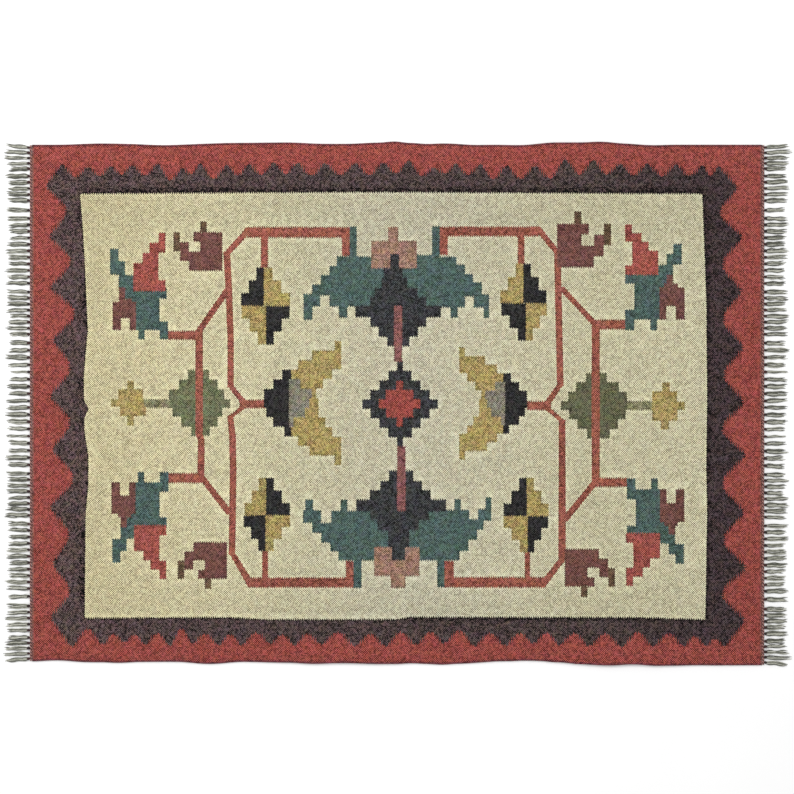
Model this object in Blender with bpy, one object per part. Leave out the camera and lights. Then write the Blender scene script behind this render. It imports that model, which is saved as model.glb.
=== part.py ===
"""Kilim rug of about 1.8 m by 1.2 m, lying flat with its knotted warp fringes spread out.

Metres, +Z up, floor at Z = 0. The warps run along X and the wefts along Y. The woven body is
one sheet. Each end has a twined strip from which the warps come out, knotted into locks.
"""

import math
import random

import bmesh
import bpy

# The woven body, without its twined ends
CLOTH_LENGTH = 1.694
CLOTH_THICKNESS = 0.005
COLUMNS = 44
# Rows of the sheet, by their distance in from each long edge; the first is the selvedge bundle
ROW_INSETS = (0.0, 0.006, 0.035, 0.070, 0.105, 0.140, 0.350)
SELVEDGE_DROP = 0.0012

# The selvedges wander, as they do where a weaver beats the wefts by hand
LONG_EDGES = (
    # along, far edge, near edge (both from the middle line)
    (-0.850, 0.602, 0.597),
    (-0.690, 0.605, 0.599),
    (-0.530, 0.602, 0.598),
    (-0.370, 0.606, 0.598),
    (-0.250, 0.607, 0.600),
    (-0.120, 0.604, 0.601),
    (-0.040, 0.607, 0.603),
    (0.120, 0.605, 0.603),
    (0.285, 0.601, 0.595),
    (0.370, 0.607, 0.599),
    (0.450, 0.607, 0.606),
    (0.610, 0.602, 0.607),
    (0.850, 0.602, 0.606),
)

# Where a long edge lifts off the floor in a low soft wave
EDGE_WAVES = (
    # side (+1 far, -1 near), along, lift, half length
    (+1, -0.300, 0.0030, 0.260),
    (+1, 0.410, 0.0040, 0.230),
    (-1, -0.120, 0.0025, 0.240),
    (-1, 0.520, 0.0040, 0.240),
)
WAVE_REACH = 0.140

# The twined end strips, one each side, parted from the cloth by a hair
GAP = 0.0003
STRIP_WIDTH = 0.006
STRIP_HEIGHT = 0.0046

# Locks from the middle of an end out to its corner. Both halves are laid out alike.
FIRST_LOCK = 0.0075
BUNCHES = (
    # locks, pitch, gap after the bunch
    (9, 0.0168, 0.0205),
    (8, 0.0140, 0.0200),
    (11, 0.0151, 0.0185),
    (1, 0.0000, 0.0225),
    (5, 0.0142, 0.0175),
    (5, 0.0122, 0.0000),
)
THIN_LOCK = 4
LOCK_WIDTH = 0.0108
THIN_WIDTH = 0.0058
LOCK_HEIGHT = 0.0052
LOCK_LENGTH = 0.050
CORNER_LENGTH = 0.059
CORNER_LOCKS = 3
CORNER_LEAN = 0.005
LOCK_SPACE = 0.0010
ROOT_WIDTH = 0.0056
CORNER_INSET = 0.0065
LOCK_SECTIONS = (
    # share of the length, share of the width, share of the height
    (0.08, 0.70, 0.85),
    (0.42, 1.00, 1.00),
    (0.78, 0.94, 0.80),
    (1.00, 0.34, 0.42),
)
LOCK_TOP_SHARE = 0.60


def smooth_step(share):
    share = min(max(share, 0.0), 1.0)
    return share * share * (3.0 - 2.0 * share)


def half_width(side, along):
    """Distance of the far (+1) or near (-1) selvedge from the middle line, eased between rows."""
    column = 1 if side > 0 else 2
    if along <= LONG_EDGES[0][0]:
        return LONG_EDGES[0][column]
    for first, second in zip(LONG_EDGES, LONG_EDGES[1:]):
        if along <= second[0]:
            share = (along - first[0]) / (second[0] - first[0])
            return first[column] + (second[column] - first[column]) * smooth_step(share)
    return LONG_EDGES[-1][column]


def lift(along, across):
    """How far the cloth's underside is off the floor."""
    total = 0.0
    for side, middle, height, half_length in EDGE_WAVES:
        if side * across <= 0.0 or abs(along - middle) >= half_length:
            continue
        inset = half_width(side, along) - abs(across)
        near_edge = smooth_step(1.0 - inset / WAVE_REACH)
        total += height * near_edge * 0.5 * (1.0 + math.cos(math.pi * (along - middle) / half_length))
    return total


def principled(name, colour, roughness):
    material = bpy.data.materials.new(name)
    material.use_nodes = True
    shader = material.node_tree.nodes["Principled BSDF"]
    shader.inputs["Base Color"].default_value = (*colour, 1.0)
    shader.inputs["Roughness"].default_value = roughness
    shader.inputs["Metallic"].default_value = 0.0
    return material


def finish(bm, name, material):
    bmesh.ops.recalc_face_normals(bm, faces=bm.faces)
    mesh = bpy.data.meshes.new(name)
    bm.to_mesh(mesh)
    bm.free()
    mesh.materials.append(material)
    mesh.shade_smooth()
    mesh.set_sharp_from_angle(angle=math.radians(40.0))
    piece = bpy.data.objects.new(name, mesh)
    bpy.context.scene.collection.objects.link(piece)
    return piece


def row_place(row, along):
    """Across position of one row of the sheet, counted from the near selvedge."""
    last = 2 * len(ROW_INSETS)
    if row < len(ROW_INSETS):
        return ROW_INSETS[row] - half_width(-1, along)
    if row == len(ROW_INSETS):
        return 0.0
    return half_width(+1, along) - ROW_INSETS[last - row]


def is_selvedge(place):
    side = 1 if place.y > 0.0 else -1
    return abs(half_width(side, place.x) - abs(place.y)) < 0.5 * ROW_INSETS[1]


def build_body(material):
    """The woven sheet: a grid laid on the floor, waved at its long edges, then given thickness."""
    rows = 2 * len(ROW_INSETS)
    bm = bmesh.new()
    bmesh.ops.create_grid(bm, x_segments=COLUMNS, y_segments=rows, size=1.0)
    for point in bm.verts:
        along = 0.5 * CLOTH_LENGTH * point.co.x
        row = round(0.5 * rows * (point.co.y + 1.0))
        across = row_place(row, along)
        point.co = (along, across, lift(along, across))
    selvedges = {(round(p.co.x, 6), round(p.co.y, 6)) for p in bm.verts if is_selvedge(p.co)}
    grown = bmesh.ops.extrude_face_region(bm, geom=bm.faces[:], use_keep_orig=True)
    for point in (item for item in grown["geom"] if isinstance(item, bmesh.types.BMVert)):
        edge = (round(point.co.x, 6), round(point.co.y, 6)) in selvedges
        point.co.z += CLOTH_THICKNESS - (SELVEDGE_DROP if edge else 0.0)
    return finish(bm, "kilim_body", material)


def half_end_locks(side, reach, rng):
    """(centre, width, length, lean) of the locks from the middle of an end out to one corner."""
    centres = []
    centre = FIRST_LOCK
    for count, pitch, gap in BUNCHES:
        for index in range(count):
            centres.append(centre + index * pitch)
        centre = centres[-1] + gap
    spread = (reach - CORNER_INSET) / centres[-1]
    centres = [centre * spread for centre in centres]
    locks = []
    for index, centre in enumerate(centres):
        width = LOCK_WIDTH * rng.uniform(0.84, 1.12)
        length = LOCK_LENGTH * rng.uniform(0.90, 1.09)
        lean = rng.uniform(-0.0020, 0.0020)
        if index == THIN_LOCK:
            width = THIN_WIDTH
            lean = 0.0
        if index >= len(centres) - CORNER_LOCKS:
            share = (index - len(centres) + CORNER_LOCKS + 1) / CORNER_LOCKS
            length = CORNER_LENGTH * (1.0 if index == len(centres) - 2 else rng.uniform(0.88, 0.95))
            lean = CORNER_LEAN * share
        locks.append([side * centre, width, length, side * lean])
    return locks


def end_locks(low_reach, high_reach):
    """Locks of a whole end in order across it, each narrow enough to stand apart from the next."""
    locks = half_end_locks(-1, low_reach, random.Random(21))
    locks += half_end_locks(+1, high_reach, random.Random(34))
    locks.sort()
    for first, second in zip(locks, locks[1:]):
        room = second[0] - first[0] - LOCK_SPACE - abs(first[3] - second[3])
        first[1] = min(first[1], room)
        second[1] = min(second[1], room)
    return locks


def grow_lock(bm, root, lock, strip_face):
    """Draws a lock out of its root face on the strip, section by section, flat on the floor."""
    centre, width, length, lean = lock
    face = root
    axis = centre
    for share, wide, high in LOCK_SECTIONS:
        grown = bmesh.ops.extrude_discrete_faces(bm, faces=[face])
        face = grown["faces"][0]
        new_axis = centre + lean * share
        for corner in face.verts:
            top = corner.co.z > 0.0
            half = 0.5 * width * wide * (LOCK_TOP_SHARE if top else 1.0)
            across = new_axis + math.copysign(half, corner.co.y - axis)
            corner.co = (strip_face + length * share, across, LOCK_HEIGHT * high if top else 0.0)
        axis = new_axis


def build_fringe(name, end, material):
    """The twined strip and locks of one end (+1 right, -1 left), drawn at +X and turned there."""
    inner = 0.5 * CLOTH_LENGTH + GAP
    outer = inner + STRIP_WIDTH
    low_reach = half_width(-end, end * inner)
    high_reach = half_width(+end, end * inner)
    locks = end_locks(low_reach, high_reach)
    stations = [-low_reach]
    for lock in locks:
        stations += [lock[0] - 0.5 * ROOT_WIDTH, lock[0] + 0.5 * ROOT_WIDTH]
    stations.append(high_reach)
    bm = bmesh.new()
    corners = ((inner, 0.0), (outer, 0.0), (outer, STRIP_HEIGHT), (inner, STRIP_HEIGHT))
    rings = [[bm.verts.new((x, across, z)) for x, z in corners] for across in stations]
    roots = []
    for index, (ring, following) in enumerate(zip(rings, rings[1:])):
        for corner in range(4):
            after = (corner + 1) % 4
            face = bm.faces.new((ring[corner], ring[after], following[after], following[corner]))
            if corner == 1 and index % 2 == 1:
                roots.append(face)
    bm.faces.new(rings[0])
    bm.faces.new(rings[-1])
    for root, lock in zip(roots, locks):
        grow_lock(bm, root, lock, outer)
    piece = finish(bm, name, material)
    piece.rotation_euler.z = 0.0 if end > 0 else math.pi
    return piece


def main():
    for old in list(bpy.data.objects):
        bpy.data.objects.remove(old, do_unlink=True)
    woven = principled("wool_and_jute_weave", (0.42, 0.20, 0.14), 0.9)
    yarn = principled("cotton_warp_yarn", (0.42, 0.42, 0.35), 0.85)
    build_body(woven)
    build_fringe("fringe_right", +1, yarn)
    build_fringe("fringe_left", -1, yarn)


main()
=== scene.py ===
"""Looks of a kilim rug of about 1.8 m by 1.2 m, lying flat with its warp fringes spread out.

Metres, +Z up, the floor at Z = 0. The warps run along X and the wefts along Y, so where two dyes
meet along X their wefts turn back on a warp, and where they meet along Y one pick follows another.
The pattern is drawn in millimetres from the middle of the rug, as a weaver's cartoon is: blocks,
steps, stems and charts, laid over one another. The cloth's mesh is cut along their outlines, and
each part gets its dyed yarn.
"""

import math
import random

import bpy
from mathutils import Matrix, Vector, noise
from mathutils.geometry import delaunay_2d_cdt


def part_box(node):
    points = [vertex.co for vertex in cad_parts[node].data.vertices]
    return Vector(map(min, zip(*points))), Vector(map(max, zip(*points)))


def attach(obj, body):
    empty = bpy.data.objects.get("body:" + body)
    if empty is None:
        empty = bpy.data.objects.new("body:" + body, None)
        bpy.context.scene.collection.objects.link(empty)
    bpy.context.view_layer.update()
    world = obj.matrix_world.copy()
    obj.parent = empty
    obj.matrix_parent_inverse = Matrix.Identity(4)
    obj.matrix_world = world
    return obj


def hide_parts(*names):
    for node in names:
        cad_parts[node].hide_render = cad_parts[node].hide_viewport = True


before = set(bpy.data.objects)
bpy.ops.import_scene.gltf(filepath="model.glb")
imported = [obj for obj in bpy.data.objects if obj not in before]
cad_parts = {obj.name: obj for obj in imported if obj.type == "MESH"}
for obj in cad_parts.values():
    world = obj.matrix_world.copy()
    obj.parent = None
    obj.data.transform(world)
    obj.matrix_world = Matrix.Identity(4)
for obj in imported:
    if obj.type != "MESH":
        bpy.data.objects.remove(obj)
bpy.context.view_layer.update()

MM = 0.001

# ------------------------------------------------ sizes of the cloth, as in the solids
cloth_low, cloth_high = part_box("kilim_body")
CLOTH_LENGTH = round(cloth_high.x - cloth_low.x, 4)
CLOTH_THICKNESS = 0.005
GAP = round(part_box("fringe_right")[0].x - cloth_high.x, 4)  # between the cloth and a twined strip
STRIP_WIDTH = 0.006

LONG_EDGES = (
    # along, far edge, near edge (both from the middle line)
    (-0.850, 0.602, 0.597),
    (-0.690, 0.605, 0.599),
    (-0.530, 0.602, 0.598),
    (-0.370, 0.606, 0.598),
    (-0.250, 0.607, 0.600),
    (-0.120, 0.604, 0.601),
    (-0.040, 0.607, 0.603),
    (0.120, 0.605, 0.603),
    (0.285, 0.601, 0.595),
    (0.370, 0.607, 0.599),
    (0.450, 0.607, 0.606),
    (0.610, 0.602, 0.607),
    (0.850, 0.602, 0.606),
)

# Between those places a selvedge wanders a little more, where single wefts pull or slacken
EDGE_WANDER = (
    # side (+1 far, -1 near), along, outward, half length
    (+1, -0.765, -0.0012, 0.080),
    (+1, -0.545, -0.0010, 0.070),
    (+1, -0.190, -0.0012, 0.070),
    (+1, -0.006, 0.0030, 0.036),
    (+1, 0.070, -0.0016, 0.036),
    (+1, 0.175, -0.0022, 0.065),
    (+1, 0.475, 0.0020, 0.050),
    (+1, 0.590, -0.0012, 0.060),
    (-1, -0.785, -0.0030, 0.065),
    (-1, -0.645, 0.0016, 0.045),
    (-1, -0.435, 0.0050, 0.080),
    (-1, -0.195, 0.0022, 0.060),
    (-1, 0.035, -0.0016, 0.040),
    (-1, 0.104, 0.0016, 0.035),
    (-1, 0.265, 0.0012, 0.040),
    (-1, 0.335, -0.0012, 0.035),
    (-1, 0.440, -0.0016, 0.040),
    (-1, 0.548, -0.0028, 0.055),
    (-1, 0.690, -0.0008, 0.060),
)

EDGE_WAVES = (
    # side (+1 far, -1 near), along, lift, half length
    (+1, -0.300, 0.0030, 0.260),
    (+1, 0.410, 0.0040, 0.230),
    (-1, -0.120, 0.0025, 0.240),
    (-1, 0.520, 0.0040, 0.240),
)
WAVE_REACH = 0.140

# Locks of the fringe from the middle of an end out to its corner
FIRST_LOCK = 0.0075
BUNCHES = (
    # locks, pitch, gap after the bunch
    (9, 0.0168, 0.0205),
    (8, 0.0140, 0.0200),
    (11, 0.0151, 0.0185),
    (1, 0.0000, 0.0225),
    (5, 0.0142, 0.0175),
    (5, 0.0122, 0.0000),
)
THIN_LOCK = 4
THIN_WIDTH = 0.0058
LOCK_WIDTH = 0.0108
LOCK_WIDTHS = (0.84, 1.12)  # least and greatest share of it
LOCK_LENGTH = 0.050
LOCK_LENGTHS = (0.90, 1.09)
LOCK_LEAN = 0.0020
LOCK_SPACE = 0.0010
LOCK_SEEDS = (21, 34)  # for the two halves of an end
CORNER_LENGTH = 0.059
CORNER_LENGTHS = (0.88, 0.95)
CORNER_LOCKS = 3
CORNER_LEAN = 0.005
CORNER_INSET = 0.0065

# ------------------------------------------------ sizes of the weave
WARP_PAIR = 5.16 * MM  # two warps, and two picks, are this far apart
HALF_PAIR = 0.5 * WARP_PAIR
EDGE_COMB = 2.7  # millimetres that wefts of two dyes reach past each other
SLOPE_COMB = 8.0
VINE_COMB = 1.9
PICK_COMB = 0.5  # share of it where the colours meet along a pick, in a straighter line
PICK_SLOPE = 0.22  # an edge that leans less than this off a pick's line runs along the pick
COMB_LEAST = 0.65  # a weft reaches at least this share of the comb, and up to the next more
COMB_RANGE = 0.7
CORNER_CALM = 0.38  # the comb dies away towards a corner, by this share of the way to it
TOOTH_CALM = 1.2  # along the zigzag it stays strong up to the corners
CORNER_ROOM = 0.3  # share of a step that stays free of comb points at a corner
GROOVE_DEPTH = 0.0006  # each face dips by this much where two dyes meet
GROOVE_WIDTH = 0.0026
END_PICKS = 0.0040  # the last picks of each end, in pale thread
EDGINGS = 4  # the end picks and the selvedges are the areas laid last

# Spacing of the mesh's points
STATION = 0.010  # along a selvedge
SELVEDGE_ROWS = (0.0, 0.0007, 0.0023, 0.0039, 0.0046, 0.0075)
CUSHION = 0.022  # inside a colour area
CUSHION_WIDTH = 1.18  # width of the cloth that this filling covers
CUSHION_STRAY = 0.002
CUSHION_MARGIN = 0.008
POINT_CELL = 0.6 * GROOVE_WIDTH  # no two points of the filling are nearer than about this
MERGED = 1e-6

# Half thickness of the cloth: a selvedge is a round cord of wefts over doubled warps
SELVEDGE_WIDTH = 0.0046
SELVEDGE_RIM = 0.0004
SELVEDGE_ROUND = 0.9
BESIDE_SELVEDGE = 0.0012
SELVEDGE_RISE = 0.0030
END_THINNING = 0.4  # the last picks are pressed flat by this share
END_RISE = 0.004

# Small unevenness of the cloth: wide cockles and short ripples, with their lengths in millimetres
COCKLE = (111, 83)
COCKLE_HEIGHT = 0.0010
RIPPLE = (29.4, 38.5)
RIPPLE_HEIGHT = 0.0005
FLAT_RIM = 0.03  # both die away this near to an edge


def repeats(size):
    """Whole repeats a metre of a pattern whose grain is this many millimetres."""
    return round(1.0 / (size * MM))


def smooth_step(share):
    share = min(max(share, 0.0), 1.0)
    return share * share * (3.0 - 2.0 * share)


def swell(along, middle, half_length):
    """A smooth swell along an edge: 1 in its middle, 0 from a half length away."""
    if abs(along - middle) >= half_length:
        return 0.0
    return 0.5 * (1.0 + math.cos(math.pi * (along - middle) / half_length))


def wander(side, along):
    """How far a selvedge strays outward from its even course."""
    total = 0.0
    for edge, middle, outward, half_length in EDGE_WANDER:
        if edge == side:
            total += outward * swell(along, middle, half_length)
    return total


def half_width(side, along):
    """Distance of the far (+1) or near (-1) selvedge from the middle line."""
    column = 1 if side > 0 else 2
    if along <= LONG_EDGES[0][0]:
        return LONG_EDGES[0][column]
    for first, second in zip(LONG_EDGES, LONG_EDGES[1:]):
        if along <= second[0]:
            share = (along - first[0]) / (second[0] - first[0])
            course = first[column] + (second[column] - first[column]) * smooth_step(share)
            return course + wander(side, along)
    return LONG_EDGES[-1][column]


def lift(along, across):
    """How far the cloth's underside is off the floor."""
    total = 0.0
    for side, middle, height, half_length in EDGE_WAVES:
        if side * across > 0.0:
            inset = half_width(side, along) - abs(across)
            near_edge = smooth_step(1.0 - inset / WAVE_REACH)
            total += height * near_edge * swell(along, middle, half_length)
    return total


# ------------------------------------------------ the cartoon, in millimetres
class Cartoon:
    """Colour areas in the order they are laid down, each a closed outline with its dye."""

    def __init__(self):
        self.areas = []

    def lay(self, dye, outline, comb=EDGE_COMB, calm=CORNER_CALM):
        """Lays down one area. Its straight edges get the comb of wefts that reach past each other."""
        outline = [Vector(point) for point in outline]
        points = []
        for first, second in zip(outline, outline[1:] + outline[:1]):
            points += comb_edge(first * MM, second * MM, comb * MM, calm)
        self.add_area(dye, points)

    def add_area(self, dye, outline):
        """Keeps one area, its outline turned to run anticlockwise."""
        turn = sum(first.cross(second) for first, second in zip(outline, outline[1:] + outline[:1]))
        self.areas.append((dye, outline if turn > 0.0 else outline[::-1]))

    def blocks(self, dye, *places):
        """Plain blocks, each given by its left, right, near and far edge."""
        for left, right, near, far in places:
            self.lay(dye, [(left, near), (right, near), (right, far), (left, far)])

    def tower(self, dye, top, rows):
        """Stacked rows from the far side down, each given by its near edge, left and right."""
        right_side = []
        left_side = []
        for near, left, right in rows:
            right_side += [(right, top), (right, near)]
            left_side += [(left, top), (left, near)]
            top = near
        self.lay(dye, right_side + left_side[::-1])

    def diamond(self, dye, centre, row, half_widths):
        """A stepped diamond of equal rows round its centre."""
        along, across = centre
        top = across + 0.5 * row * len(half_widths)
        rows = []
        for index, half in enumerate(half_widths):
            rows.append((top - row * (index + 1), along - half, along + half))
        self.tower(dye, top, rows)

    def vines(self, *paths):
        """Stems that climb along the wefts, each with its (along, across, width) at every turn."""
        for path in paths:
            left_side = [(along - 0.5 * width, across) for along, across, width in path]
            right_side = [(along + 0.5 * width, across) for along, across, width in path]
            self.lay("vine", right_side + left_side[::-1], VINE_COMB)

    def chart(self, rows, dyes, left, right, near, far):
        """A charted motif fitted to its box; left > right or near > far turns it over."""
        lines = [0.0]
        cells = {}
        for row, (height, runs) in enumerate(rows):
            lines.append(lines[-1] + height)
            for run in runs.split():
                start, end = run[1:].split("-")
                filled = {(column, row) for column in range(int(start), int(end) + 1)}
                cells.setdefault(run[0], set()).update(filled)
        columns = 1 + max(column for filled in cells.values() for column, _ in filled)
        for letter in sorted(cells):
            for loop in outlines(cells[letter]):
                placed = []
                for column, line in loop:
                    along = left + (right - left) * column / columns
                    across = far + (near - far) * lines[line] / lines[-1]
                    placed.append((along, across))
                self.lay(dyes[letter], placed)


def scatter(step, row):
    """An uneven number from 0 to 1, always the same for one place. Its factors only stir it."""
    mixed = math.sin(step * 12.9898 + row * 0.78233) * 43758.5453
    return mixed - math.floor(mixed)


def comb_edge(first, second, depth, calm):
    """Points of one edge from its first corner to just before its second.

    The edge steps to and fro from one warp to the next, or from one pick to the next, where the
    wefts of two dyes reach past each other in turn.
    """
    run = second - first
    lead = 0 if abs(run.x) > PICK_SLOPE * abs(run.y) else 1
    low, high = sorted((first[lead], second[lead]))
    steps = list(range(math.floor(low / HALF_PAIR) + 1, math.ceil(high / HALF_PAIR)))
    if second[lead] < first[lead]:
        steps.reverse()
    points = [first.copy()]
    for step in steps:
        place = step * HALF_PAIR
        if min(place - low, high - place) < CORNER_ROOM * HALF_PAIR:
            continue
        point = first + run * ((place - first[lead]) / run[lead])
        row = round(point[1 - lead] * 2000.0)  # in half millimetres
        swing = depth * (COMB_LEAST + COMB_RANGE * scatter(step, row))
        if lead:
            swing *= PICK_COMB
        swing = min(swing, calm * (place - low), calm * (high - place))
        point[1 - lead] += swing if step % 2 else -swing
        points.append(point)
    return points


def corners_of(loop):
    """The points of a closed loop where it turns."""
    kept = []
    for before, point, after in zip(loop[-1:] + loop, loop, loop[1:] + loop[:1]):
        run_in = (point[0] - before[0], point[1] - before[1])
        run_out = (after[0] - point[0], after[1] - point[1])
        if run_in[0] * run_out[1] != run_in[1] * run_out[0]:
            kept.append(point)
    return kept


def outlines(cells):
    """Closed outlines, in grid steps, round a set of filled (column, row) cells."""
    following = {}
    for column, row in sorted(cells):
        corners = [(column, row), (column + 1, row), (column + 1, row + 1), (column, row + 1)]
        beside = [(column, row - 1), (column + 1, row), (column, row + 1), (column - 1, row)]
        for index, neighbour in enumerate(beside):
            if neighbour not in cells:
                following.setdefault(corners[index], []).append(corners[(index + 1) % 4])
    loops = []
    while following:
        loop = [next(iter(following))]
        while loop[-1] in following:
            point = following[loop[-1]].pop()
            if not following[loop[-1]]:
                del following[loop[-1]]
            if point in loop:
                start = loop.index(point)
                loops.append(corners_of(loop[start:]))
                del loop[start + 1 :]
            else:
                loop.append(point)
    return loops


# Charts: each row has its height in lines and its runs of blocks, a dye letter with first and last
# column. Columns start at the first edge of a motif's box, and rows at its last one.
BIRD = (
    (1.1, "u12-14"),
    (1, "u0-2 m9-21"),
    (1, "u0-2 m3-6 m12-21"),
    (1, "m3-21"),
    (1, "m7-21"),
)
PETAL = (
    (1, "p11-13"),
    (1, "p7-13"),
    (1, "p4-10"),
    (1.7, "p0-10"),
    (1.1, "p0-13"),
)
LEAF = (
    (1.1, "t0-3"),
    (1.2, "t0-6"),
    (1.1, "t4-21"),
    (1.0, "m4-6 t7-25"),
)
FOOT = (
    (0.5, "m4-9 t10-22"),
    (2.5, "m1-11 t12-22"),
    (0.45, "m1-4 m9-11 t12-22"),
    (1.35, "m1-4 m9-11 t12-26"),
    (1.4, "t13-15 t23-26"),
)
STEPS = (
    (1, "s2-2"),
    (1, "s1-2"),
    (1, "s0-2"),
)
FAN = (
    (1, "g31-33"),
    (1, "g21-33"),
    (1, "g15-33"),
    (1, "k8-11 g12-29"),
    (1, "k4-10 e11-15 g16-25"),
    (1, "k0-10 e11-20 g21-22"),
    (1, "k0-10 e11-19 g20-23"),
    (1, "k1-10 e11-17 g18-23"),
    (1, "k4-10 e11-12 g13-26"),
    (1, "k9-11 g12-29"),
    (1, "g15-33"),
    (1, "g20-33"),
    (1, "g31-33"),
)

# Teeth of the dark zigzag band, uneven in pitch and depth as they are counted out
FAR_TEETH = (
    # tip along, tip level, level of the valley after it
    (-776, 555, 526), (-717, 551, 530), (-664, 551, 533), (-614, 555, 530), (-556, 557, 520),
    (-498, 546, 533), (-457, 557, 522), (-394, 553, 530), (-344, 555, 533), (-285, 560, 535),
    (-231, 559, 530), (-166, 559, 531), (-97, 559, 531), (-31, 561, 535), (27, 565, 531),
    (87, 549, 535), (137, 557, 533), (193, 555, 522), (254, 553, 522), (320, 553, 524),
    (390, 566, 533), (455, 566, 533), (517, 557, 530), (581, 557, 530), (648, 555, 530),
    (709, 553, 530), (746, 551, 530),
)  # fmt: skip
NEAR_TEETH = (
    (-754, -562, -523), (-683, -557, -535), (-632, -553, -536), (-585, -558, -534),
    (-527, -560, -522), (-474, -555, -535), (-414, -559, -535), (-360, -559, -532),
    (-295, -555, -536), (-238, -559, -534), (-177, -557, -531), (-97, -561, -535),
    (-27, -561, -531), (44, -558, -530), (110, -555, -527), (179, -561, -533),
    (251, -560, -533), (317, -556, -532), (377, -558, -533), (445, -561, -534),
    (521, -563, -531), (594, -561, -534), (665, -561, -539), (716, -561, -545),
    (760, -562, -530),
)  # fmt: skip
LEFT_TEETH = (
    # tip across, tip level, level of the valley after it
    (-495, -802, -761), (-370, -797, -763), (-240, -802, -754), (-105, -798, -761),
    (19, -803, -760), (149, -796, -750), (271, -802, -760), (390, -804, -769), (506, -813, -769),
)  # fmt: skip
RIGHT_TEETH = (
    (-501, 805, 757), (-379, 808, 760), (-251, 804, 758), (-118, 806, 757),
    (4, 803, 761), (132, 802, 759), (262, 798, 758), (387, 799, 752), (502, 788, 752),
)  # fmt: skip
# How a tooth falls from its tip to the valley: share of the half pitch, share of the depth left
FAR_TOOTH = ((0.10, 1.0), (0.92, 0.0))
NEAR_TOOTH = ((0.12, 1.0), (0.84, 0.0))
SIDE_TOOTH = ((0.10, 1.0), (0.80, 0.0))

FIELD_LEFT = (
    (-735, 487), (-728, 404), (-722, 288), (-717, 172), (-726, 68), (-726, 10), (-715, -11),
    (-725, -32), (-725, -60), (-716, -118), (-716, -188), (-722, -257), (-724, -496),
)  # fmt: skip
FIELD_NEAR = ((-560, -495), (-390, -494), (-310, -499), (0, -499), (30, -493), (560, -494))
FIELD_RIGHT = ((715, -499), (719, -246), (717, -153), (719, 10), (717, 242), (708, 487))
FIELD_FAR = ((300, 489), (0, 491), (-300, 490))


def tooth_line(teeth, tooth):
    """The zigzag through a row of teeth, as (along, level) points in order."""
    points = []
    last = len(teeth) - 1
    for index, (tip, level, valley) in enumerate(teeth):
        back = tip - teeth[index - 1][0] if index else teeth[1][0] - tip
        ahead = teeth[index + 1][0] - tip if index < last else back
        floor = teeth[index - 1][2] if index else valley
        before = [(tip - 0.5 * back * share, floor + (level - floor) * rise) for share, rise in tooth]
        after = [(tip + 0.5 * ahead * share, valley + (level - valley) * rise) for share, rise in tooth]
        points += before[::-1] if index else before[:1]
        points += after if index < last else after[:1]
    return points


def draw_borders(cartoon):
    """The dark zigzag band on the red ground, and the pale field in it."""
    far = tooth_line(FAR_TEETH, FAR_TOOTH)
    near = tooth_line(NEAR_TEETH, NEAR_TOOTH)
    left = tooth_line(LEFT_TEETH, SIDE_TOOTH)
    right = tooth_line(RIGHT_TEETH, SIDE_TOOTH)
    ring = [(level, across) for across, level in left]
    ring += far
    ring += [(level, across) for across, level in right][::-1]
    ring += near[::-1]
    cartoon.lay("charcoal", ring, SLOPE_COMB, TOOTH_CALM)
    cartoon.lay("cream", FIELD_LEFT + FIELD_NEAR + FIELD_RIGHT + FIELD_FAR)


def draw_stars(cartoon):
    """Green stepped diamonds under the outer vines, each with a gold star on its stem."""
    rows = ((57, -485, -436), (34, -506, -416), (11, -529, -401), (-9, -529, -387), (-29, -521, -405))
    cartoon.tower("green", 80, rows + ((-53, -501, -416), (-74, -477, -434)))
    cartoon.blocks("olive", (-588, -527, -9, 11))
    rows = ((35, -626, -610), (12, -647, -589), (-6, -664, -587), (-28, -643, -582), (-50, -626, -610))
    cartoon.tower("gold", 55, rows)
    rows = ((51, 438, 487), (29, 415, 515), (7, 397, 534), (-14, 380, 536), (-35, 399, 531))
    cartoon.tower("green", 72, rows + ((-58, 418, 513), (-80, 441, 494)))
    cartoon.blocks("olive", (534, 592, -14, 7))
    rows = ((30, 615, 633), (6, 592, 650), (-14, 592, 668), (-39, 592, 651), (-59, 612, 631))
    cartoon.tower("gold", 51, rows)


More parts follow.
